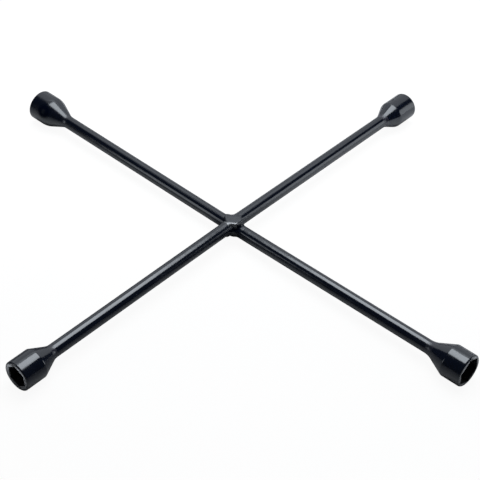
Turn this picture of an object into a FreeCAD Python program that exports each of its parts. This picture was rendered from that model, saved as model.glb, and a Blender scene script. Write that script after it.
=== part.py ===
"""Four-way cross lug wrench: two round steel bars half-lapped and welded at their middles, with a different
hexagon socket welded on each of the four ends.

Frame: origin in the middle of the crossing, +X along the cross bar to the largest socket, +Y along the
through bar, +Z up from the surface the wrench lies on. The mouths have their centres in the plane z = 0, and
each bar is bent a little at its middle, the through bar up and the cross bar down. Millimetres.
"""
import FreeCAD
import Part

import math
import os

# ---- driving dimensions ---------------------------------------------------------------------------------
SPAN = 508.0                # mouth to mouth along each bar: the nominal 20 inch wrench
BAR_D = 12.0                # round bar
BAR_RISE = {"through_bar": 2.4, "cross_bar": -2.4}      # height of each bar's axis at the crossing
SPIGOT_D = 7.0              # turned end of a bar, seated in the back of its socket
SPIGOT_LENGTH = 6.0
SPIGOT_END_GAP = 0.5        # room left past a spigot, at the bottom of its hole
SPIGOT_CHAMFER = 0.6

INCH = 25.4
HEX_CLEARANCE = 0.2         # how much wider across flats a socket is than its nut
HEX_BEVEL = 0.6             # 45 degree bevel along the hexagon's edges at the mouth
DRILL_POINT_ANGLE = 59.0    # half of a 118 degree drill point

PAD_HEIGHT = 8.8            # flat face of the pad of weld metal over the lap, a little over the bar
PAD_SIDES = [               # its sides: which way each one faces, and how far it is from the middle
    ((0.6, -0.8, 0.0), 8.9),
    ((0.6, 0.8, 0.0), 6.9),
    ((-0.42, 0.56, 0.71), 8.8),
    ((-0.6, -0.8, 0.0), 8.5),
    ((1.0, 0.0, 0.15), 8.9),
    ((-0.94, 0.0, 0.34), 10.8),
]
PAD_EDGE = 1.5              # rounding of the pad's edges
FILL_HEIGHT = 6.2           # top of the dome that the weld in the four corners is cut from
FILL_DOME_R = 15.9          # radius of that dome
BEAD_ENDS = {               # the lump where the last bead was stopped, on each side: radius and centre
    1: (2.4, (-11.0, 4.4, 0.2)),
    -1: (4.0, (0.8, -10.2, -2.0)),
}

# One entry per socket: its bar, its arm's direction about +Z, then millimetres and degrees. turn is the angle
# of a hexagon corner about the arm, from level towards up; blend is the length of the neck weld on each side
# of the corner that it fills.
SOCKETS = {
    "7_8": dict(bar="cross_bar", arm=0, flats=7 / 8 * INCH, hex_depth=16.0, turn=37,
                outside=29.1, barrel=18.6, taper=18.4, shoulder_r=3.0, mouth_round=2.2,
                stud_bore=15.5, stud_bore_depth=4.0, blend=3.8),
    "13_16": dict(bar="cross_bar", arm=180, flats=13 / 16 * INCH, hex_depth=18.0, turn=14,
                  outside=28.9, barrel=19.2, taper=19.4, shoulder_r=22.0, mouth_round=1.0,
                  stud_bore=13.5, stud_bore_depth=6.0, blend=2.8),
    "3_4": dict(bar="through_bar", arm=90, flats=3 / 4 * INCH, hex_depth=17.0, turn=25,
                outside=25.7, barrel=24.3, taper=14.3, shoulder_r=8.0, mouth_round=1.9,
                stud_bore=13.5, stud_bore_depth=5.0, blend=2.8),
    "11_16": dict(bar="through_bar", arm=270, flats=11 / 16 * INCH, hex_depth=18.0, turn=38,
                  outside=26.8, barrel=20.2, taper=16.0, shoulder_r=3.0, mouth_round=1.3,
                  stud_bore=13.5, stud_bore_depth=6.0, blend=2.8),
}

# Radius in plan of the hollow face of the weld in each corner of the crossing, by the quadrant's signs.
CORNER_RADII = {(1, -1): 5.5, (-1, 1): 5.0, (-1, -1): 2.4, (1, 1): 2.8}

# ---- worked out -----------------------------------------------------------------------------------------
HALF_SPAN = SPAN / 2
BAR_R = BAR_D / 2
SPIGOT_R = SPIGOT_D / 2
WIDE = 2 * BAR_D            # past everything at the crossing, for the shapes that cut it
X_AXIS = FreeCAD.Vector(1, 0, 0)
Y_AXIS = FreeCAD.Vector(0, 1, 0)
Z_AXIS = FreeCAD.Vector(0, 0, 1)
ORIGIN = FreeCAD.Vector(0, 0, 0)


# ---- drawing helpers: every arm's parts are drawn level along +X, then moved to their own arm ------------
def point(x, r):
    """A point of a profile: x along the arm, r out from its axis."""
    return FreeCAD.Vector(x, 0, r)


def lines(*points):
    """Straight edges through the points in order."""
    return [Part.LineSegment(a, b).toShape() for a, b in zip(points, points[1:])]


def arc(start, middle, end):
    """An arc through three points, as a list of one edge."""
    return [Part.Arc(start, middle, end).toShape()]


def quarter_round(start, corner, end):
    """The arc that rounds a square corner off, between two points at the same distance from it."""
    centre = start + end - corner
    return arc(start, centre + (corner - centre) * math.sqrt(0.5), end)


def revolve(edges):
    """A solid of revolution about the arm's axis, from the edges of a closed profile."""
    return Part.Face(Part.Wire(edges)).revolve(ORIGIN, X_AXIS, 360)


def cylinder(radius, x_from, x_to):
    """A cylinder along the arm."""
    return Part.makeCylinder(radius, x_to - x_from, point(x_from, 0), X_AXIS)


def box_between(low, high):
    """A box from its lowest to its highest corner."""
    size = [b - a for a, b in zip(low, high)]
    return Part.makeBox(*size, FreeCAD.Vector(*low))


def turned(shape, degrees):
    """A copy of the shape, turned about the vertical axis through the crossing."""
    copy = shape.copy()
    copy.rotate(ORIGIN, Z_AXIS, degrees)
    return copy


def on_arm(shape, s):
    """A copy of the shape, tilted about the mouth so the crossing rises or falls, and turned to its arm."""
    copy = shape.copy()
    tilt = math.asin(BAR_RISE[s["bar"]] / HALF_SPAN)
    copy.rotate(point(HALF_SPAN, 0), Y_AXIS, math.degrees(tilt))
    return turned(copy, s["arm"])


def neck_x(s):
    """Where a socket's taper would meet the bar, measured along the arm."""
    return HALF_SPAN - s["barrel"] - s["taper"]


def taper_angle(s):
    """The taper's slope, in radians."""
    return math.atan2(s["outside"] / 2 - BAR_R, s["taper"])


def weld_edge_on_taper(s):
    """The point of the taper where the neck weld ends."""
    a = taper_angle(s)
    return point(neck_x(s) + s["blend"] * math.cos(a), BAR_R + s["blend"] * math.sin(a))


# ---- sockets --------------------------------------------------------------------------------------------
def socket_body(s):
    """The socket's outside: weld bevel, taper, rounded shoulder, barrel and rounded mouth."""
    outer_r = s["outside"] / 2
    neck, shoulder = neck_x(s), HALF_SPAN - s["barrel"]
    a = taper_angle(s)
    tangent = s["shoulder_r"] * math.tan(a / 2)
    arc_start = point(shoulder - tangent * math.cos(a), outer_r - tangent * math.sin(a))
    arc_end = point(shoulder + tangent, outer_r)
    arc_centre = arc_end - point(0, s["shoulder_r"])
    arc_middle = arc_centre + point(-math.sin(a / 2), math.cos(a / 2)) * s["shoulder_r"]
    round_start = point(HALF_SPAN - s["mouth_round"], outer_r)
    round_end = point(HALF_SPAN, outer_r - s["mouth_round"])
    edges = lines(point(neck, 0), point(neck, SPIGOT_R), weld_edge_on_taper(s), arc_start)
    edges += arc(arc_start, arc_middle, arc_end)
    edges += lines(arc_end, round_start)
    edges += quarter_round(round_start, point(HALF_SPAN, outer_r), round_end)
    edges += lines(round_end, point(HALF_SPAN, 0), point(neck, 0))
    return revolve(edges)


def hexagon(s, x, wider=0.0):
    """The hexagon's outline across the arm at x, its flats moved out by wider."""
    flat_r = (s["flats"] + HEX_CLEARANCE) / 2 + wider
    corner_r = flat_r / math.cos(math.radians(30))
    angles = [math.radians(s["turn"] + 60 * i) for i in range(7)]
    corners = [FreeCAD.Vector(x, corner_r * math.cos(a), corner_r * math.sin(a)) for a in angles]
    return Part.makePolygon(corners)


def hexagon_hole(s):
    """The hexagon that the nut enters, with the bevel along its edges at the mouth."""
    prism = Part.Face(hexagon(s, HALF_SPAN - s["hex_depth"])).extrude(X_AXIS * s["hex_depth"])
    bevel = Part.makeLoft([hexagon(s, HALF_SPAN - HEX_BEVEL), hexagon(s, HALF_SPAN, HEX_BEVEL)], True)
    return prism.fuse(bevel)


def stud_bore(s):
    """The drilled bore past the hexagon, which clears the end of the wheel stud, with its drill point."""
    r = s["stud_bore"] / 2
    floor_x = HALF_SPAN - s["hex_depth"]
    bottom_x = floor_x - s["stud_bore_depth"]
    tip = r / math.tan(math.radians(DRILL_POINT_ANGLE))
    drill_point = Part.makeCone(0, r, tip, point(bottom_x - tip, 0), X_AXIS)
    return cylinder(r, bottom_x, floor_x).fuse(drill_point)


def spigot_hole(s):
    """The blind hole in the socket's back that the bar's spigot fills, with a little room at its end."""
    return cylinder(SPIGOT_R, neck_x(s), neck_x(s) + SPIGOT_LENGTH + SPIGOT_END_GAP)


def socket(s):
    """One socket, on its own arm."""
    return on_arm(socket_body(s).cut([hexagon_hole(s), stud_bore(s), spigot_hole(s)]), s)


# ---- bars -----------------------------------------------------------------------------------------------
def half_bar(s):
    """One arm's half of a bar: cut off upright at the crossing, and lapped there to clear the other bar."""
    neck = neck_x(s)
    tip = neck + SPIGOT_LENGTH
    outline = [point(-BAR_R, 0), point(-BAR_R, BAR_R), point(neck - s["blend"], BAR_R),
               point(neck, SPIGOT_R), point(tip - SPIGOT_CHAMFER, SPIGOT_R),
               point(tip, SPIGOT_R - SPIGOT_CHAMFER), point(tip, 0)]
    past_crossing = box_between((-BAR_D, -BAR_D, -BAR_D), (0, BAR_D, BAR_D))
    low_z, high_z = (-BAR_D, 0) if BAR_RISE[s["bar"]] > 0 else (0, BAR_D)
    lap = box_between((0, -BAR_D, low_z), (BAR_R, BAR_D, high_z))
    solid = on_arm(revolve(lines(*outline, outline[0])), s)
    return solid.cut([turned(past_crossing, s["arm"]), turned(lap, s["arm"])])


def bar(name):
    """One bar: its two halves joined at the bend in the middle."""
    first, second = [half_bar(s) for s in SOCKETS.values() if s["bar"] == name]
    return first.fuse(second)


# ---- welds ----------------------------------------------------------------------------------------------
def neck_weld(s):
    """The ring of weld in the bevel between a bar and its socket, ground to a hollow blend outside."""
    a = taper_angle(s)
    start, end = point(neck_x(s) - s["blend"], BAR_R), weld_edge_on_taper(s)
    blend_r = s["blend"] / math.tan(a / 2)
    centre = start + point(0, blend_r)
    middle = centre + point(math.sin(a / 2), -math.cos(a / 2)) * blend_r
    return on_arm(revolve(arc(start, middle, end) + lines(end, point(neck_x(s), SPIGOT_R), start)), s)


def pad(side):
    """The pad over the lap (+1), or under it (-1), where it is turned over about the cross bar."""
    solid = box_between((-WIDE, -WIDE, 0), (WIDE, WIDE, PAD_HEIGHT))
    for direction, reach in PAD_SIDES:
        outwards = FreeCAD.Vector(*direction).normalize()
        beyond = Part.makeCylinder(2 * WIDE, 2 * WIDE, outwards * reach, outwards)
        solid = solid.cut(beyond)
    upper_edges = [edge for edge in solid.Edges if edge.BoundBox.ZMax > PAD_EDGE]
    solid = solid.makeFillet(PAD_EDGE, upper_edges)
    if side < 0:
        solid.rotate(ORIGIN, X_AXIS, 180)
    return solid


def corner_fill(x_sign, y_sign, radius, dome):
    """The part of the dome in one quarter of the plan, with its hollow face between the two bars."""
    reach = BAR_R + radius
    low = (min(0, x_sign * reach), min(0, y_sign * reach), -BAR_D)
    high = (max(0, x_sign * reach), max(0, y_sign * reach), BAR_D)
    hollow_foot = FreeCAD.Vector(x_sign * reach, y_sign * reach, -BAR_D)
    hollow = Part.makeCylinder(radius, 2 * BAR_D, hollow_foot, Z_AXIS)
    return dome.common(box_between(low, high)).cut(hollow)


def centre_weld(side):
    """The weld over one side of the crossing, +1 above and -1 below: the pad and the four corner fills."""
    dome = Part.makeSphere(FILL_DOME_R, FreeCAD.Vector(0, 0, side * (FILL_HEIGHT - FILL_DOME_R)))
    fills = [corner_fill(x_sign, y_sign, radius, dome) for (x_sign, y_sign), radius in CORNER_RADII.items()]
    bead_end_r, bead_end_at = BEAD_ENDS[side]
    bead_end = Part.makeSphere(bead_end_r, FreeCAD.Vector(*bead_end_at))
    metal = pad(side).fuse(fills + [bead_end])
    low_z, high_z = (0, WIDE) if side > 0 else (-WIDE, 0)
    half = box_between((-WIDE, -WIDE, low_z), (WIDE, WIDE, high_z))
    return metal.common(half).cut([half_bar(s) for s in SOCKETS.values()])


# ---- the assembly ---------------------------------------------------------------------------------------
def build():
    """Every node's shape, by name."""
    nodes = {name: bar(name) for name in BAR_RISE}
    nodes["centre_weld_top"] = centre_weld(1)
    nodes["centre_weld_bottom"] = centre_weld(-1)
    for size, s in SOCKETS.items():
        nodes["socket_" + size] = socket(s)
        nodes["neck_weld_" + size] = neck_weld(s)
    return nodes


def main():
    os.makedirs("parts", exist_ok=True)
    for name, shape in build().items():
        solids = shape.Solids
        shape = solids[0] if len(solids) == 1 else Part.makeCompound(solids)
        shape.exportStep(f"parts/{name}.step")
        print(f"{name}: {len(solids)} solid, valid {shape.isValid()}, {shape.Volume / 1000:.2f} cm3")


main()
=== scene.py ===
import math

import bmesh
import bpy
import numpy
from mathutils import Matrix, Vector, noise


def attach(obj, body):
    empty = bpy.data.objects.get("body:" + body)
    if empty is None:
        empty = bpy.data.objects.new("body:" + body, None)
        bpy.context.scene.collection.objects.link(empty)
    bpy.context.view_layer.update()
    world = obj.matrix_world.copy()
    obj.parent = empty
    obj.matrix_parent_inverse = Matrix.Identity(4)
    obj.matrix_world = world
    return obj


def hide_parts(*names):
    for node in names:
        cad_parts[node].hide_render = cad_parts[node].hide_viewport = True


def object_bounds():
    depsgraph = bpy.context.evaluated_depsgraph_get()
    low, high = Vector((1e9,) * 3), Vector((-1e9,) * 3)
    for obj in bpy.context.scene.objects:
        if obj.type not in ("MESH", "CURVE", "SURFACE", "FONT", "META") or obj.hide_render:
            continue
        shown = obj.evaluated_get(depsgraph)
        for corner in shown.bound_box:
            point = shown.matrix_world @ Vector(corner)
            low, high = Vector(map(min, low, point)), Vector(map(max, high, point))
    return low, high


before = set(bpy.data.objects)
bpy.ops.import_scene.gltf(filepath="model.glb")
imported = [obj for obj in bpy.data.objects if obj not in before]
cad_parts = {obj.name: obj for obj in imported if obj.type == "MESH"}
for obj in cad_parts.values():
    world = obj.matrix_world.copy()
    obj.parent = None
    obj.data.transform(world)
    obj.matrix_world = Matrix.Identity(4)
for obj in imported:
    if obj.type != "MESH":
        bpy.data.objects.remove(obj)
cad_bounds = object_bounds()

# The looks of the lug wrench. The bars, sockets and neck welds keep their CAD shapes and get a finish. One
# lumpy mesh stands for both halves of the weld at the crossing. Metres, except where millimetres are named.
MM = 0.001


def add_object(name, data):
    """A new object in the scene."""
    made = bpy.data.objects.new(name, data)
    bpy.context.scene.collection.objects.link(made)
    return made


# ---- camera, as fitted to the wrench's outline in the photograph ----------------------------------------
IMAGE_SIZE = 480                      # pixels, square
SENSOR = 36.0                         # mm
FOCAL_PIXELS = 1389.79
CAMERA_AZIMUTH = math.radians(39.742)
CAMERA_ELEVATION = math.radians(41.67)
CAMERA_ROLL = math.radians(3.223)
CAMERA_DISTANCE = 1.23283             # how deep in the view the middle of the crossing is
CROSSING_ON_IMAGE = (233.79, 224.93)  # and where it is, in pixels from the top left
CLIP_NEAR, CLIP_FAR = 0.01, 50


def camera_axes():
    """The camera's directions right, up and back, with its roll."""
    az, el = CAMERA_AZIMUTH, CAMERA_ELEVATION
    back = Vector((math.sin(az) * math.cos(el), -math.cos(az) * math.cos(el), math.sin(el)))
    level = Vector((math.cos(az), math.sin(az), 0))
    upward = back.cross(level)
    right = math.cos(CAMERA_ROLL) * level + math.sin(CAMERA_ROLL) * upward
    up = math.cos(CAMERA_ROLL) * upward - math.sin(CAMERA_ROLL) * level
    return right, up, back


def make_camera():
    """Sets up the camera so that the crossing lies where it does in the photograph."""
    right, up, back = camera_axes()
    dx = (CROSSING_ON_IMAGE[0] - IMAGE_SIZE / 2) / FOCAL_PIXELS
    dy = (IMAGE_SIZE / 2 - CROSSING_ON_IMAGE[1]) / FOCAL_PIXELS
    place = CAMERA_DISTANCE * (back - dx * right - dy * up)
    data = bpy.data.cameras.new("camera")
    data.sensor_width = SENSOR
    data.lens = FOCAL_PIXELS * SENSOR / IMAGE_SIZE
    data.clip_start = CLIP_NEAR
    data.clip_end = CLIP_FAR
    camera = add_object("camera", data)
    camera.matrix_world = Matrix((
        (right.x, up.x, back.x, place.x),
        (right.y, up.y, back.y, place.y),
        (right.z, up.z, back.z, place.z),
        (0, 0, 0, 1)))
    bpy.context.scene.camera = camera


make_camera()

# ---- shader helpers: a share is a number from 0 to 1 ----------------------------------------------------
MIX_SOCKETS = {"FLOAT": (2, 3, 0), "RGBA": (6, 7, 2)}   # a Mix node's A, B and result, by what it mixes


def feed(tree, socket, value):
    """Links a socket to another node's output, or sets it to a plain value."""
    if isinstance(value, bpy.types.NodeSocket):
        tree.links.new(value, socket)
    else:
        socket.default_value = value


def node(tree, kind, **inputs):
    """Adds a shader node and feeds its inputs by name, with _ for a space."""
    made = tree.nodes.new(kind)
    for name, value in inputs.items():
        feed(tree, made.inputs[name.replace("_", " ")], value)
    return made


def calculate(tree, operation, first, second):
    """The result of an operation on two numbers."""
    made = tree.nodes.new("ShaderNodeMath")
    made.operation = operation
    feed(tree, made.inputs[0], first)
    feed(tree, made.inputs[1], second)
    return made.outputs[0]


def product(tree, first, *others):
    """All the numbers multiplied together."""
    for other in others:
        first = calculate(tree, "MULTIPLY", first, other)
    return first


def vector_node(tree, operation, first, second=(0, 0, 0)):
    """A node with the result of an operation on two vectors, or on the first alone."""
    made = tree.nodes.new("ShaderNodeVectorMath")
    made.operation = operation
    feed(tree, made.inputs[0], first)
    feed(tree, made.inputs[1], second)
    return made


def scaled(tree, vector, factors):
    """The vector, with each part multiplied by its own factor."""
    return vector_node(tree, "MULTIPLY", vector, factors).outputs["Vector"]


def dot(tree, vector, direction):
    """How far the vector goes in a direction."""
    return vector_node(tree, "DOT_PRODUCT", vector, direction).outputs["Value"]


def length(tree, vector):
    """The length of a vector."""
    return vector_node(tree, "LENGTH", vector).outputs["Value"]


def coordinate(tree, place, axis):
    """X, Y or Z of a place."""
    return node(tree, "ShaderNodeSeparateXYZ", Vector=place).outputs[axis]


def ramp(tree, value, low, high):
    """0 below low, 1 above high and a soft step between them."""
    made = node(tree, "ShaderNodeMapRange", Value=value, From_Min=low, From_Max=high)
    made.interpolation_type = "SMOOTHSTEP"
    return made.outputs[0]


def opposite(tree, share):
    """1 less the share."""
    return calculate(tree, "SUBTRACT", 1.0, share)


def fade(tree, value, low, high):
    """1 below low, 0 above high and a soft step between them."""
    return opposite(tree, ramp(tree, value, low, high))


def mix(tree, kind, share, first, second):
    """A value of this kind that is first at a share of 0 and second at 1."""
    first_at, second_at, result_at = MIX_SOCKETS[kind]
    made = tree.nodes.new("ShaderNodeMix")
    made.data_type = kind
    feed(tree, made.inputs[0], share)
    feed(tree, made.inputs[first_at], first)
    feed(tree, made.inputs[second_at], second)
    return made.outputs[result_at]


def blend(tree, share, first, second):
    """A number between first and second."""
    return mix(tree, "FLOAT", share, first, second)


def blend_colour(tree, share, first, second):
    """A colour between first and second."""
    return mix(tree, "RGBA", share, first, second)


def mix_shaders(tree, share, first, second):
    """A surface that is the first shader node at a share of 0 and the second at 1."""
    made = node(tree, "ShaderNodeMixShader", Fac=share)
    feed(tree, made.inputs[1], first.outputs[0])
    feed(tree, made.inputs[2], second.outputs[0])
    return made.outputs[0]


def new_material(name):
    """An empty material, its node tree, and the place on the object as a vector."""
    material = bpy.data.materials.new(name)
    material.use_nodes = True
    tree = material.node_tree
    tree.nodes.clear()
    place = tree.nodes.new("ShaderNodeTexCoord").outputs["Object"]
    return material, tree, place


# ---- stage and light ------------------------------------------------------------------------------------
FLOOR_Z = cad_bounds[0][2]
FLOOR_SIZE = 20.0
PAPER_WHITE = (1.0, 1.0, 1.0, 1.0)
GLOW = 1.1                            # the strength of the floor's own white light
GLOW_SHARE = 0.85                     # how much of the floor that the camera sees is this light
REARWARD = (-0.64, 0.77, 0.0)         # away from the camera along the floor
FRONT_PAPER_PAINTED_SHADE = (0.62, 0.62, 0.62, 1.0)  # the lit paper's colour, in front of the wrench and behind it; darker in front: painted shade
BACK_PAPER = (0.95, 0.95, 0.95, 1.0)
PAPER_CHANGES = (-0.15, 0.15)         # from the one to the other between these distances rearward
PAINTED_SLANT_FRONT = (0.15, 0.15, 0.16, 1.0)  # its colour at a grazing angle, in front and behind: a painted reflection of the dark room, with painted shade in front
PAINTED_SLANT_BACK = (0.9, 0.9, 0.92, 1.0)
SHADE_CHANGES = (0.02, 0.12)          # from the one to the other between these values of y
ROOM_DARK = (0.02, 0.022, 0.026, 1)
COOL_WHITE = (0.94, 0.97, 1.0)


def paper_colour(tree, place, to_camera):
    """Paler behind than in front, which paints shade in front, and darker at a grazing angle except to the
    camera, which paints a reflection of the dark room.
    """
    rearward = dot(tree, place, REARWARD)
    paper = blend_colour(tree, ramp(tree, rearward, *PAPER_CHANGES), FRONT_PAPER_PAINTED_SHADE, BACK_PAPER)
    y = coordinate(tree, place, "Y")
    shade = blend_colour(tree, ramp(tree, y, *SHADE_CHANGES), PAINTED_SLANT_FRONT, PAINTED_SLANT_BACK)
    grazing = node(tree, "ShaderNodeLayerWeight").outputs["Facing"]
    return blend_colour(tree, product(tree, grazing, opposite(tree, to_camera)), paper, shade)


def floor_material():
    """Nearly even white to the camera, and lit paper with painted shade and a painted reflection of the room
    to the wrench, which reflects it.
    """
    material, tree, place = new_material("floor")
    to_camera = node(tree, "ShaderNodeLightPath").outputs["Is Camera Ray"]
    paper = node(tree, "ShaderNodeBsdfDiffuse", Color=paper_colour(tree, place, to_camera))
    glow = node(tree, "ShaderNodeEmission", Color=PAPER_WHITE, Strength=GLOW)
    surface = mix_shaders(tree, product(tree, to_camera, GLOW_SHARE), paper, glow)
    node(tree, "ShaderNodeOutputMaterial", Surface=surface)
    return material


def make_floor():
    """A wide pale floor that the wrench lies on."""
    bpy.ops.mesh.primitive_plane_add(size=FLOOR_SIZE, location=(0, 0, FLOOR_Z))
    floor = bpy.context.object
    floor.name = "floor"
    floor.data.materials.append(floor_material())


def make_world():
    """A dark room round the set, with white beyond it where the camera looks past the floor."""
    world = bpy.data.worlds.new("world")
    bpy.context.scene.world = world
    world.use_nodes = True
    tree = world.node_tree
    tree.nodes.clear()
    to_camera = node(tree, "ShaderNodeLightPath").outputs["Is Camera Ray"]
    room = node(tree, "ShaderNodeBackground", Color=ROOM_DARK)
    white = node(tree, "ShaderNodeBackground", Color=PAPER_WHITE)
    node(tree, "ShaderNodeOutputWorld", Surface=mix_shaders(tree, to_camera, room, white))


def softbox(name, centre, aim, width, height, radiance):
    """A rectangular light that looks this bright in a mirror, whatever its size."""
    data = bpy.data.lights.new(name, "AREA")
    data.shape = "RECTANGLE"
    data.size = width
    data.size_y = height
    data.energy = radiance * math.pi * width * height
    data.color = COOL_WHITE
    light = add_object(name, data)
    light.location = centre
    light.rotation_euler = (Vector(aim) - Vector(centre)).to_track_quat("-Z", "Y").to_euler()
    light.visible_camera = False


def around(azimuth, distance, height):
    """A place by azimuth, in degrees as the camera's is counted, distance and height."""
    a = math.radians(azimuth)
    return Vector((math.sin(a) * distance, -math.cos(a) * distance, height))


def make_lights():
    """Two lights overhead, one behind and one on each side, placed for the streaks in the photograph."""
    softbox("top", (-0.075, 0.19, 1.0), (-0.075, 0.19, 0), 0.81, 0.78, 3.3)
    softbox("top_fill", (-0.42, 0.50, 1.05), (-0.42, 0.50, 0), 1.15, 1.20, 0.36)
    softbox("back", around(-140, 2.0, 1.65), around(-140, 1.0, 1.65), 4.2, 3.0, 0.55)
    softbox("left", (-0.62, -0.905, 0.27), (-0.08, 0, 0.1), 0.26, 0.60, 1.08)
    softbox("right", around(139, 1.1, 0.25), (0, 0, 0.1), 0.46, 0.56, 1.25)


make_floor()
make_world()
make_lights()
bpy.context.scene.view_settings.view_transform = "Standard"

# ---- the weld at the crossing, as one lumpy mass (millimetres) ------------------------------------------
BARS = {"through_bar": (0.0, 1.0, 0.0), "cross_bar": (1.0, 0.0, 0.0)}   # each bar's direction
BAR_R = 6.0
BAR_RISE = 2.4                        # the through bar's axis over the middle plane, the cross bar's under it
HALF_SPAN = 254.0
PAD_FRONT = (0.6, -0.8, 0)            # the way the pad's front face looks
PAD_FACES = [                         # the pad over the lap: each face's outward direction and distance
    ((0, 0, 1), 8.6),
    (PAD_FRONT, 8.9),
    ((0.6, 0.8, 0), 6.9),
    ((-0.42, 0.56, 0.71), 8.8),
    ((-0.6, -0.8, 0), 8.5),
    ((1, 0, 0.15), 8.9),
    ((-0.94, 0, 0.34), 10.8)]
PAD_EDGE = 1.8
PAD_BLEND = 0.5
CORNER_RADII = {(1, -1): 5.5, (-1, 1): 5.0, (-1, -1): 2.4, (1, 1): 2.8}   # by the signs of x and y
CORNER_BLEND = 1.17                   # smooth-union width for a radius of 1
CREASE_FROM, CREASE_TO = 1.0, 4.0     # from the middle plane up or down, the corners tighten between these
CREASE_BLEND = 0.25                   # to this share of their width
BEAD_ENDS = [                         # lumps where a bead was stopped: radius and centre
    (2.2, (-11.0, 4.6, 0.2)),
    (4.0, (0.8, -10.2, -2.0)),
    (3.8, (-4.5, 4.5, 1.0)),
    (3.8, (4.5, -4.5, -2.5))]
BEAD_BLEND = 2.5
SKIN = 0.04                           # how proud of the bars the mass lies
DIP_FROM, DIP_TO, DIP_DEPTH = 12.5, 16.0, 0.3   # it dives under the bars' surface along each arm
REACH = 17.5                          # and is cut off out of sight inside them
LUMPS = 0.10                          # height of the small lumps on it
LUMP_SIZE = 3.2
BALL_SUBDIVISIONS = 7
HALVINGS = 24                         # steps in the search for the surface


def smooth_step(low, high, value):
    """0 below low, 1 above high and a soft step between them."""
    t = numpy.clip((value - low) / (high - low), 0, 1)
    return t * t * (3 - 2 * t)


def smooth_union(a, b, width):
    """The distance to two bodies together, with the crease between them filled."""
    share = numpy.maximum(width - abs(a - b), 0) / width
    return numpy.minimum(a, b) - share * share * width / 4


def bar_distance(points, axis, rise):
    """Distance to the surface of a bar that is bent at the crossing, where its axis is this high."""
    nearest = numpy.full(len(points), numpy.inf)
    start = numpy.array([0, 0, rise])
    for end in (axis * HALF_SPAN, -axis * HALF_SPAN):
        arm = (end - start) / numpy.linalg.norm(end - start)
        along = numpy.maximum((points - start) @ arm, 0)
        off_axis = numpy.linalg.norm(points - start - along[:, None] * arm, axis=1)
        nearest = numpy.minimum(nearest, off_axis - BAR_R)
    return nearest


def pad_distance(points, side):
    """Distance to the pad over the lap (+1), or to the same pad turned over about X under it (-1)."""
    local = points * (1, side, side)
    distance = -local[:, 2]
    for direction, face_distance in PAD_FACES:
        outward = numpy.array(direction) / numpy.linalg.norm(direction)
        beyond = local @ outward - face_distance
        distance = -smooth_union(-distance, -beyond, PAD_EDGE)
    return distance


def corner_width(points):
    """The smooth-union width between the bars, which changes softly from one corner to the next."""
    to_x = smooth_step(-BAR_R, BAR_R, points[:, 0])
    to_y = smooth_step(-BAR_R, BAR_R, points[:, 1])
    width = 0
    for (x_sign, y_sign), radius in CORNER_RADII.items():
        share_x = to_x if x_sign > 0 else 1 - to_x
        share_y = to_y if y_sign > 0 else 1 - to_y
        width = width + share_x * share_y * radius * CORNER_BLEND
    return width * (1 - (1 - CREASE_BLEND) * smooth_step(CREASE_FROM, CREASE_TO, abs(points[:, 2])))


def weld_distance(points):
    """Distance to the weld's surface, less than 0 inside."""
    through = bar_distance(points, numpy.array(BARS["through_bar"]), BAR_RISE)
    across = bar_distance(points, numpy.array(BARS["cross_bar"]), -BAR_RISE)
    distance = smooth_union(through, across, corner_width(points))
    for side in (1, -1):
        distance = smooth_union(distance, pad_distance(points, side), PAD_BLEND)
    for radius, centre in BEAD_ENDS:
        lump = numpy.linalg.norm(points - numpy.array(centre), axis=1) - radius
        distance = smooth_union(distance, lump, BEAD_BLEND)
    from_middle = numpy.linalg.norm(points, axis=1)
    return distance - SKIN + (SKIN + DIP_DEPTH) * smooth_step(DIP_FROM, DIP_TO, from_middle)


def weld_radii(directions):
    """How far out the weld's surface is in each direction, found by halving."""
    low = numpy.zeros(len(directions))
    high = numpy.full(len(directions), REACH)
    for _ in range(HALVINGS):
        middle = (low + high) / 2
        inside = weld_distance(directions * middle[:, None]) < 0
        low = numpy.where(inside, middle, low)
        high = numpy.where(inside, high, middle)
    return low


def weld_mesh():
    """A fine ball, with each point pushed out along its own direction on to the weld's lumpy surface."""
    mesh = bmesh.new()
    bmesh.ops.create_icosphere(mesh, subdivisions=BALL_SUBDIVISIONS, radius=1.0)
    directions = numpy.array([v.co for v in mesh.verts])
    directions /= numpy.linalg.norm(directions, axis=1)[:, None]
    for vertex, direction, radius in zip(mesh.verts, directions, weld_radii(directions)):
        at = Vector(direction) * float(radius)
        at += Vector(direction) * LUMPS * noise.noise(at / LUMP_SIZE) * (radius < DIP_FROM)
        vertex.co = at * MM
    for face in mesh.faces:
        face.smooth = True
    data = bpy.data.meshes.new("crossing_weld")
    mesh.to_mesh(data)
    mesh.free()
    return data


def make_crossing_weld():
    """The weld, in place of both of its CAD halves."""
    weld = add_object("crossing_weld", weld_mesh())
    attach(weld, "root")
    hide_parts("centre_weld_top", "centre_weld_bottom")
    return weld


# ---- materials: one gloss black finish, laid and worn differently from piece to piece, with painted light ---
BLACK = (0.0015, 0.004, 0.013, 1)
SOOT = (0.006, 0.006, 0.007, 1)
DUST = (0.045, 0.05, 0.055, 1)
# bare steel where the finish is worn through; on the pad's front edge it is also a painted highlight
BARE_STEEL_AND_HIGHLIGHT = (0.90, 0.92, 0.94, 1)
LILAC_PAINTED_SHEEN = (0.030, 0.026, 0.045, 1)     # lilac painted sheen on the neck welds
SHEEN_TINT = (0.92, 0.96, 1.0, 1)
FINISH_IOR = 1.9

# Cloudy patterns: the size of their features, and their detail.
PEEL = (2.2 * MM, 2.0)                # orange peel
WAVES = (11 * MM, 1.0)
CLOUDS = (24 * MM, 4.0)               # patches where the gloss is a little duller
DRAW_MARKS = (1.6 * MM, 3.0)
GRINDING = (0.9 * MM, 3.0)
# patches of lilac painted sheen on the neck welds
PAINTED_SHEEN_PATCHES = (3.5 * MM, 2.0)
WORN_PATCHES = (4.0 * MM, 3.0)
WELD_LUMPS = (4.5 * MM, 2.0)

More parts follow.
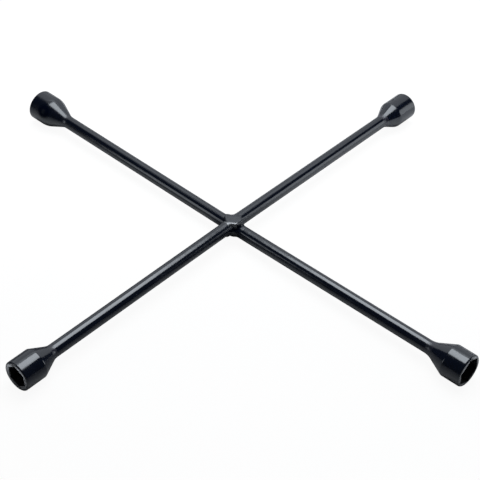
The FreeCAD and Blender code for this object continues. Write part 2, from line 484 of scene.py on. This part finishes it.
# How deep each pattern goes, and how many times deeper than on the bars the orange peel is on other pieces.
PEEL_DEPTH = 0.020 * MM
WAVE_DEPTH = 0.11 * MM
PIT_DEPTH = 0.02 * MM
DRAW_DEPTH = 0.012 * MM
GRIND_DEPTH = 0.02 * MM
WEAR_DEPTH = 0.04 * MM
WELD_LUMP_DEPTH = 0.06 * MM
SOCKET_PEEL, NECK_PEEL, WELD_PEEL = 1.3, 1.2, 2.0
DRAW_STRETCH = 0.06                   # places are multiplied by this along a bar, which draws marks out
GRIND_STRETCH = 0.15                  # and by this across an arm, which makes rings

PIT_SPACING = 9 * MM
PIT_R = 0.55 * MM
PIT_CORE = 0.5                        # share of a pit's radius that is at its full depth
PIT_DUST = 0.5

CLEAR_ROUGHNESS = 0.13
CLOUDY_ROUGHNESS = 0.20
PIT_ROUGHNESS = 0.4
HOLLOW_ROUGHNESS = 0.55
WORN_ROUGHNESS = 0.34
NECK_EXTRA_ROUGHNESS = 0.06
SHEEN_EXTRA_ROUGHNESS = 0.12
WELD_EXTRA_ROUGHNESS = 0.03

# The noise values between which a pattern comes in, in a soft step.
CLOUDS_SHOW = (0.35, 0.7)
PAINTED_SHEEN_SHOWS = (0.35, 0.6)
WEAR_SHOWS = (0.2, 0.5)

# Each socket: its arm, how worn its lip is, how much lilac painted sheen its neck has, which also roughens
# it, and about how far out its hollow goes at the mouth, over the bevel on the hexagon's corners.
ARMS = {"7_8": (1, 0, 0), "13_16": (-1, 0, 0), "3_4": (0, 1, 0), "11_16": (0, -1, 0)}
LIP_WEAR = {"7_8": 0.7, "13_16": 0.6, "3_4": 0.6, "11_16": 1.0}
NECK_PAINTED_SHEEN_AND_ROUGHNESS = {"7_8": 0.4, "13_16": 0.1, "3_4": 1.0, "11_16": 0.5}
HOLLOW_R = {"7_8": 13.6 * MM, "13_16": 13.1 * MM, "3_4": 11.9 * MM, "11_16": 11.2 * MM}
HOLLOW_EDGE = 0.5 * MM                # the dark of the hollow fades over this
MOUTH = HALF_SPAN * MM                # from the middle of the crossing to each socket's mouth
HEX_FLOOR = 235.6 * MM                # nearer the middle than any hexagon's floor
BORE_FLOOR = 229 * MM                 # nearer than any bore's straight wall, though not every drill point
FLOOR_STEP = 0.1 * MM
BORE_WALL = (8.0 * MM, 8.2 * MM)      # just outside the widest bore
WEAR_BEGINS = MOUTH - 0.9 * MM        # wear on the lip begins here along the arm
WEAR_IS_FULL = MOUTH - 0.3 * MM
LIP_WIDTH = (0.4 * MM, 1.4 * MM)      # it fades between these distances outside the hollow
LOW_LIP, HIGH_LIP = -6 * MM, 8 * MM   # and with height, from full wear at the second of these
LOW_LIP_WEAR_IN_PAINTED_SHADE = 0.35                   # to this share of it at the first, which paints shade on the lower lip
SHADE_PATCHES = {                            # a matt black patch of painted shade on each socket: its centre, and where it has faded away
    "7_8": ((236 * MM, 9 * MM, -11 * MM), 7 * MM),
    "13_16": ((-236 * MM, -12.3 * MM, 7.6 * MM), 9 * MM),
    "3_4": ((-8 * MM, 238 * MM, -9 * MM), 7 * MM),
    "11_16": ((-9 * MM, -236 * MM, -9 * MM), 7 * MM)}
SHADE_PATCH_CORE = 0.5                      # share of that distance where it is at its full strength
SHADE_PATCH_SHARE = 0.95

# The crossing: how strong each share is, and the distances over which it comes in or fades. Away is from the
# middle, up is from the middle plane, and forward is the way the pad's front looks.
# Painted shade low down round the crossing, on the bars and the weld.
CROSSING_SHADE = 0.75
CROSSING_SHADE_AWAY = (9 * MM, 30 * MM)
CROSSING_SHADE_UP = (-2 * MM, 3 * MM)
# A worn edge on the pad: partly real wear, partly a painted highlight.
PAD_RUB_AND_HIGHLIGHT = 0.25
RUB_UP = (7.0 * MM, 7.9 * MM)
RUB_FORWARD = (6.2 * MM, 7.2 * MM)
# Painted shade on the pad's front, low down under its edge.
PAD_SHADE_AWAY = (9.5 * MM, 11.5 * MM)
PAD_SHADE_UP = (5.5 * MM, 7.2 * MM)
PAD_SHADE_FORWARD = (4.0 * MM, 6.0 * MM)


def grain(tree, place, size, detail):
    """Cloudy noise with features of this size, from 0 to 1 around 0.5."""
    made = node(tree, "ShaderNodeTexNoise", Vector=place, Scale=1 / size, Detail=detail, Roughness=0.5)
    return made.outputs[0]


def pits(tree, place):
    """1 at rare small spots, 0 elsewhere."""
    made = node(tree, "ShaderNodeTexVoronoi", Vector=place, Scale=1 / PIT_SPACING, Randomness=1.0)
    return fade(tree, made.outputs["Distance"], PIT_CORE * PIT_R / PIT_SPACING, PIT_R / PIT_SPACING)


def add_relief(tree, height, pattern, depth):
    """The height with a pattern of this depth added to it."""
    return calculate(tree, "ADD", height, product(tree, pattern, depth))


def lay_finish(tree, place, peel=1.0):
    """Colour, roughness and height of the gloss black itself: orange peel, slow waves, smudges and pits."""
    pit = pits(tree, place)
    height = product(tree, grain(tree, place, *PEEL), PEEL_DEPTH * peel)
    height = add_relief(tree, height, grain(tree, place, *WAVES), WAVE_DEPTH)
    height = add_relief(tree, height, pit, -PIT_DEPTH)
    cloudy = ramp(tree, grain(tree, place, *CLOUDS), *CLOUDS_SHOW)
    roughness = blend(tree, cloudy, CLEAR_ROUGHNESS, CLOUDY_ROUGHNESS)
    roughness = blend(tree, pit, roughness, PIT_ROUGHNESS)
    colour = blend_colour(tree, product(tree, pit, PIT_DUST), BLACK, DUST)
    return colour, roughness, height


def coat(tree, colour, roughness, height, metallic=0.0, painted_shade=0.0):
    """Puts the finish on a glossy shader, mixed towards matt black where painted shade is asked for, and
    joins it to the output.
    """
    bump = node(tree, "ShaderNodeBump", Height=height, Distance=1.0, Strength=1.0)
    gloss = node(tree, "ShaderNodeBsdfPrincipled", Base_Color=colour, Roughness=roughness,
                 Metallic=metallic, Normal=bump.outputs[0], IOR=FINISH_IOR, Specular_Tint=SHEEN_TINT)
    matt = node(tree, "ShaderNodeBsdfDiffuse", Color=BLACK, Normal=bump.outputs[0])
    node(tree, "ShaderNodeOutputMaterial", Surface=mix_shaders(tree, painted_shade, gloss, matt))


def crossing_painted_shade(tree, place):
    """A share that is highest low down at the crossing: painted shade, which turns the finish matt black
    there.
    """
    close = fade(tree, length(tree, place), *CROSSING_SHADE_AWAY)
    low = fade(tree, coordinate(tree, place, "Z"), *CROSSING_SHADE_UP)
    return product(tree, close, low, CROSSING_SHADE)


def bar_material(name):
    """Drawn bar: faint long draw marks under the finish, and painted shade low down near the crossing."""
    material, tree, place = new_material(name)
    colour, roughness, height = lay_finish(tree, place)
    drawn = scaled(tree, place, [DRAW_STRETCH if d else 1.0 for d in BARS[name]])
    height = add_relief(tree, height, grain(tree, drawn, *DRAW_MARKS), DRAW_DEPTH)
    coat(tree, colour, roughness, height, painted_shade=crossing_painted_shade(tree, place))
    return material


def hollow_share(tree, size, along, radius):
    """1 on the inside of a socket, on its hexagon and its bore, and 0 elsewhere."""
    within = fade(tree, radius, HOLLOW_R[size] - HOLLOW_EDGE, HOLLOW_R[size])
    hexagon = product(tree, within, ramp(tree, along, HEX_FLOOR, HEX_FLOOR + FLOOR_STEP))
    within = fade(tree, radius, *BORE_WALL)
    bore = product(tree, within, ramp(tree, along, BORE_FLOOR, BORE_FLOOR + FLOOR_STEP))
    return calculate(tree, "MAXIMUM", hexagon, bore)


def lip_wear_and_shade(tree, size, place, along, radius):
    """A share that is highest in patches round the mouth's lip, where the finish is worn through, and lower
    towards the bottom, which paints shade on the lower lip.
    """
    at_mouth = ramp(tree, along, WEAR_BEGINS, WEAR_IS_FULL)
    near_lip = fade(tree, radius, HOLLOW_R[size] + LIP_WIDTH[0], HOLLOW_R[size] + LIP_WIDTH[1])
    patches = ramp(tree, grain(tree, place, *WORN_PATCHES), *WEAR_SHOWS)
    painted_shade_by_height = ramp(tree, coordinate(tree, place, "Z"), LOW_LIP, HIGH_LIP)
    patches = product(tree, patches, blend(tree, painted_shade_by_height, LOW_LIP_WEAR_IN_PAINTED_SHADE, 1.0))
    return product(tree, at_mouth, near_lip, patches, LIP_WEAR[size])


def shade_patch_share(tree, size, place):
    """A share that fades out round a place on a socket, for the patch of painted shade on its finish."""
    centre, faded_at = SHADE_PATCHES[size]
    off = length(tree, vector_node(tree, "SUBTRACT", place, centre).outputs["Vector"])
    return product(tree, fade(tree, off, SHADE_PATCH_CORE * faded_at, faded_at), SHADE_PATCH_SHARE)


def socket_material(size):
    """Forged socket: finish worn through round the mouth's lip, less so low down as painted shade, a matt
    black patch of painted shade, and dark and rough down the hole.
    """
    material, tree, place = new_material("socket_" + size)
    colour, roughness, height = lay_finish(tree, place, SOCKET_PEEL)
    along = dot(tree, place, ARMS[size])
    radius = length(tree, scaled(tree, place, [0.0 if a else 1.0 for a in ARMS[size]]))
    hollow = hollow_share(tree, size, along, radius)
    colour = blend_colour(tree, hollow, colour, SOOT)
    roughness = blend(tree, hollow, roughness, HOLLOW_ROUGHNESS)
    # The lip's worn steel is weaker low down, which paints shade there.
    wear_and_shade = lip_wear_and_shade(tree, size, place, along, radius)
    colour = blend_colour(tree, wear_and_shade, colour, BARE_STEEL_AND_HIGHLIGHT)
    roughness = blend(tree, wear_and_shade, roughness, WORN_ROUGHNESS)
    height = add_relief(tree, height, wear_and_shade, -WEAR_DEPTH)
    coat(tree, colour, roughness, height, wear_and_shade, shade_patch_share(tree, size, place))
    return material


def neck_weld_material(size):
    """Ring of weld ground to a hollow: duller, with grinding rings and patches of lilac painted sheen."""
    material, tree, place = new_material("neck_weld_" + size)
    colour, roughness, height = lay_finish(tree, place, NECK_PEEL)
    stretched = scaled(tree, place, [1.0 if a else GRIND_STRETCH for a in ARMS[size]])
    height = add_relief(tree, height, grain(tree, stretched, *GRINDING), GRIND_DEPTH)
    duller = NECK_EXTRA_ROUGHNESS + SHEEN_EXTRA_ROUGHNESS * NECK_PAINTED_SHEEN_AND_ROUGHNESS[size]
    roughness = calculate(tree, "ADD", roughness, duller)
    # Lilac painted sheen on the neck weld.
    painted_sheen = ramp(tree, grain(tree, place, *PAINTED_SHEEN_PATCHES), *PAINTED_SHEEN_SHOWS)
    colour = blend_colour(tree, product(tree, painted_sheen, NECK_PAINTED_SHEEN_AND_ROUGHNESS[size]), colour, LILAC_PAINTED_SHEEN)
    coat(tree, colour, roughness, height)
    return material


def pad_rub_and_highlight(tree, place):
    """A share that is highest along the pad's front edge, which stands proud and is worn first by rubbing;
    its bare steel also paints a brighter highlight there.
    """
    high = ramp(tree, coordinate(tree, place, "Z"), *RUB_UP)
    edge = ramp(tree, dot(tree, place, PAD_FRONT), *RUB_FORWARD)
    return product(tree, high, edge, PAD_RUB_AND_HIGHLIGHT)


def pad_front_painted_shade(tree, place):
    """A share that is highest on the pad's front, under its worn edge: painted shade, which turns the weld
    matt black there.
    """
    close = fade(tree, length(tree, place), *PAD_SHADE_AWAY)
    low = fade(tree, coordinate(tree, place, "Z"), *PAD_SHADE_UP)
    forward = ramp(tree, dot(tree, place, PAD_FRONT), *PAD_SHADE_FORWARD)
    return product(tree, close, low, forward)


def crossing_weld_material():
    """Weld at the crossing: lumpier and a little duller than the bars, with painted shade low down and on the
    pad's front, and a worn edge that is partly a painted highlight.
    """
    material, tree, place = new_material("crossing_weld")
    colour, roughness, height = lay_finish(tree, place, WELD_PEEL)
    height = add_relief(tree, height, grain(tree, place, *WELD_LUMPS), WELD_LUMP_DEPTH)
    roughness = calculate(tree, "ADD", roughness, WELD_EXTRA_ROUGHNESS)
    rubbed_and_highlight = pad_rub_and_highlight(tree, place)
    colour = blend_colour(tree, rubbed_and_highlight, colour, BARE_STEEL_AND_HIGHLIGHT)
    all_painted_shade = calculate(tree, "MAXIMUM", crossing_painted_shade(tree, place), pad_front_painted_shade(tree, place))
    coat(tree, colour, roughness, height, rubbed_and_highlight, all_painted_shade)
    return material


# ---- the pieces get their materials ---------------------------------------------------------------------
def dress(piece, material):
    """Puts a material in all of a CAD node's slots."""
    for slot in piece.material_slots:
        slot.material = material


def dress_everything():
    """Makes the weld at the crossing, and gives it and every CAD node its material."""
    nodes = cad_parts
    weld = make_crossing_weld()
    weld_material = crossing_weld_material()
    weld.data.materials.append(weld_material)
    dress(nodes["centre_weld_top"], weld_material)
    dress(nodes["centre_weld_bottom"], weld_material)
    for name in BARS:
        dress(nodes[name], bar_material(name))
    for size in ARMS:
        dress(nodes["socket_" + size], socket_material(size))
        dress(nodes["neck_weld_" + size], neck_weld_material(size))


dress_everything()
